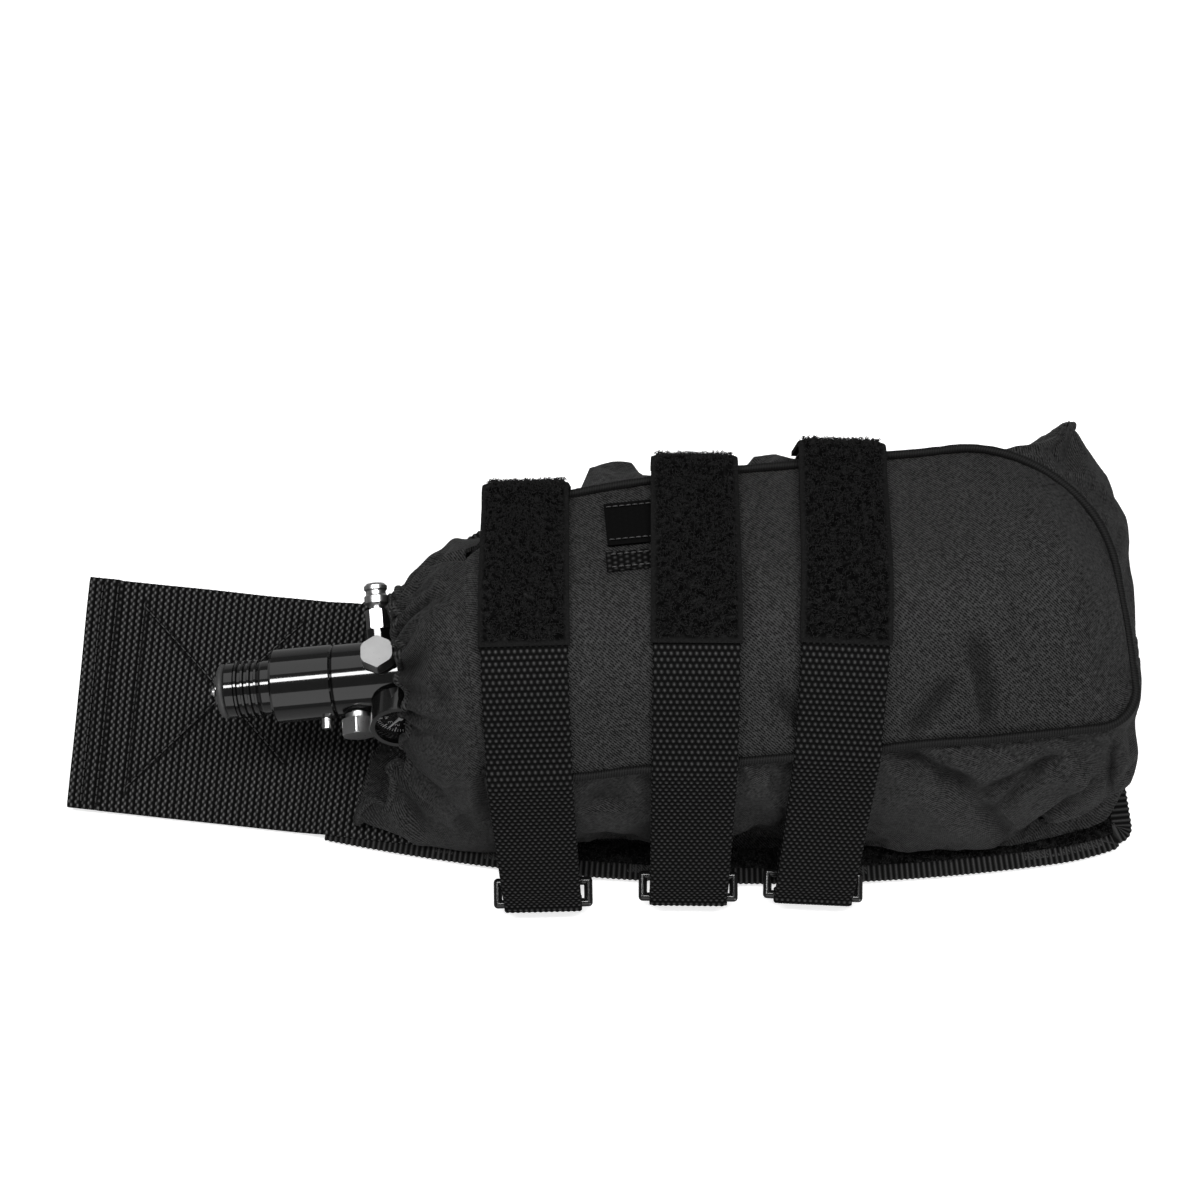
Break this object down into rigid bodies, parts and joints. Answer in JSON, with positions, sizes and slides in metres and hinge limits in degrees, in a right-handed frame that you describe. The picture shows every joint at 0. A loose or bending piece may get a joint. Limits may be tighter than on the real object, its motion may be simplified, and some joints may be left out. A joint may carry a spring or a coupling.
{
  "type": "compressed-air bottle in a belt pouch",
  "caption": "Compressed-air bottle with pressure regulator, fill nipple and gauge, held by webbing straps in a padded belt pouch with an elastic cuff.",
  "frame": {"origin": "on the pouch's back face, under the middle of the bottle's axis", "axes": "+X along the bottle towards its closed end, +Y towards the sewn ends of the straps, +Z out of the pouch's front"},
  "size_m": [0.4044, 0.1764, 0.1066],
  "materials": {
    "bottle_paint": "satin black paint",
    "black_anodised": "gloss black anodising",
    "bright_steel": "bright nickel-plated steel",
    "spring_steel": "spring steel",
    "brass_parts": "turned brass",
    "copper_disc": "copper foil",
    "seal_rubber": "black nitrile rubber",
    "seat_plastic": "white nylon",
    "gauge_metal": "plated steel",
    "dial_face": null,
    "needle_white": "white paint",
    "clear_lens": "clear",
    "pouch_fabric": "black woven polyester",
    "foam": "closed-cell foam",
    "webbing": "black nylon webbing with a light sheen",
    "hook_and_loop": "black loop pile",
    "piping_cloth": "black corded piping",
    "elastic": "covered elastic cord",
    "ring_enamel": "gloss black enamel on steel wire"
  },
  "bodies": {
    "pouch": {"back_panel": "pouch_fabric", "back_foam": "foam", "edge_binding": "webbing", "hook_strip": "hook_and_loop", "front_panel": "pouch_fabric", "top_gusset": "pouch_fabric", "bottom_gusset": "pouch_fabric", "end_gusset": "pouch_fabric", "front_piping": "piping_cloth", "cuff": "pouch_fabric", "cuff_elastic": "elastic", "keeper_tab": "webbing", "strap_base_1": "webbing", "strap_base_2": "webbing", "strap_base_3": "webbing", "loop_pad_1": "hook_and_loop", "loop_pad_2": "hook_and_loop", "loop_pad_3": "hook_and_loop", "ring_tab_1": "webbing", "ring_tab_2": "webbing", "ring_tab_3": "webbing"},
    "tank": {"bottle": "bottle_paint", "neck_o_ring": "seal_rubber", "regulator_body": "black_anodised", "regulator_bonnet": "black_anodised", "nozzle_o_ring": "seal_rubber", "valve_seat": "seat_plastic", "pin_valve_retainer": "brass_parts", "piston_springs": "spring_steel", "pin_valve_spring": "spring_steel", "vent_screw": "bright_steel", "fill_nipple": "bright_steel", "fill_check_spring": "spring_steel", "front_burst_plug": "bright_steel", "front_burst_disc": "copper_disc", "low_burst_plug": "bright_steel", "low_burst_disc": "copper_disc", "gauge_case": "black_anodised", "gauge_dial": "dial_face", "gauge_tube": "brass_parts", "gauge_lens": "clear_lens", "gauge_bezel": "gauge_metal"},
    "wing": {"belt_wing": "webbing"},
    "regulator_piston": {"piston": "brass_parts", "piston_o_ring": "seal_rubber"},
    "output_pin": {"pin_valve": "bright_steel", "pin_valve_seal": "seal_rubber"},
    "fill_check": {"fill_check_poppet": "brass_parts"},
    "needle": {"gauge_needle": "needle_white"},
    "ring_1": {"strap_ring_1": "ring_enamel"},
    "tail_1": {"strap_tail_1": "webbing"},
    "ring_2": {"strap_ring_2": "ring_enamel"},
    "tail_2": {"strap_tail_2": "webbing"},
    "ring_3": {"strap_ring_3": "ring_enamel"},
    "tail_3": {"strap_tail_3": "webbing"}
  },
  "joints": [
    {"name": "bottle_slide", "type": "slide", "parent": "pouch", "child": "tank", "axis": [-1, 0, 0], "range_m": [0, 0.28], "deforming": ["cuff", "cuff_elastic"]},
    {"name": "wing_flex", "type": "hinge", "parent": "pouch", "child": "wing", "pos_m": [-0.171, -0.005, 0], "axis": [-0.1977, -0.9803, 0], "range_deg": [-3, 60]},
    {"name": "piston_slide", "type": "slide", "parent": "tank", "child": "regulator_piston", "axis": [1, 0, 0], "range_m": [0, 0.0008], "deforming": ["piston_springs"]},
    {"name": "output_pin_press", "type": "slide", "parent": "tank", "child": "output_pin", "axis": [1, 0, 0], "range_m": [0, 0.0015], "deforming": ["pin_valve_spring"]},
    {"name": "fill_check_lift", "type": "slide", "parent": "tank", "child": "fill_check", "axis": [0, -0.9962, -0.0872], "range_m": [0, 0.0015], "deforming": ["fill_check_spring"]},
    {"name": "gauge_needle_turn", "type": "hinge", "parent": "tank", "child": "needle", "pos_m": [-0.1405, -0.01715, 0.0639], "axis": [0, 0.866, -0.5], "range_deg": [0, 270]},
    {"name": "ring_swing_1", "type": "hinge", "parent": "pouch", "child": "ring_1", "pos_m": [-0.09798, -0.07504, 0.0086], "axis": [0.9978, -0.0663, 0], "range_deg": [0, 10]},
    {"name": "tail_open_1", "type": "hinge", "parent": "ring_1", "child": "tail_1", "pos_m": [-0.09851, -0.08302, 0.0086], "axis": [0.9978, -0.0663, 0], "range_deg": [0, 150]},
    {"name": "ring_swing_2", "type": "hinge", "parent": "pouch", "child": "ring_2", "pos_m": [-0.04339, -0.0777, 0.0086], "axis": [0.9949, -0.1011, 0], "range_deg": [0, 10]},
    {"name": "tail_open_2", "type": "hinge", "parent": "ring_2", "child": "tail_2", "pos_m": [-0.0442, -0.08566, 0.0086], "axis": [0.9949, -0.1011, 0], "range_deg": [0, 150]},
    {"name": "ring_swing_3", "type": "hinge", "parent": "pouch", "child": "ring_3", "pos_m": [0.00332, -0.08164, 0.0086], "axis": [0.9907, -0.1357, 0], "range_deg": [0, 10]},
    {"name": "tail_open_3", "type": "hinge", "parent": "ring_3", "child": "tail_3", "pos_m": [0.00223, -0.08956, 0.0086], "axis": [0.9907, -0.1357, 0], "range_deg": [0, 150]}
  ]
}
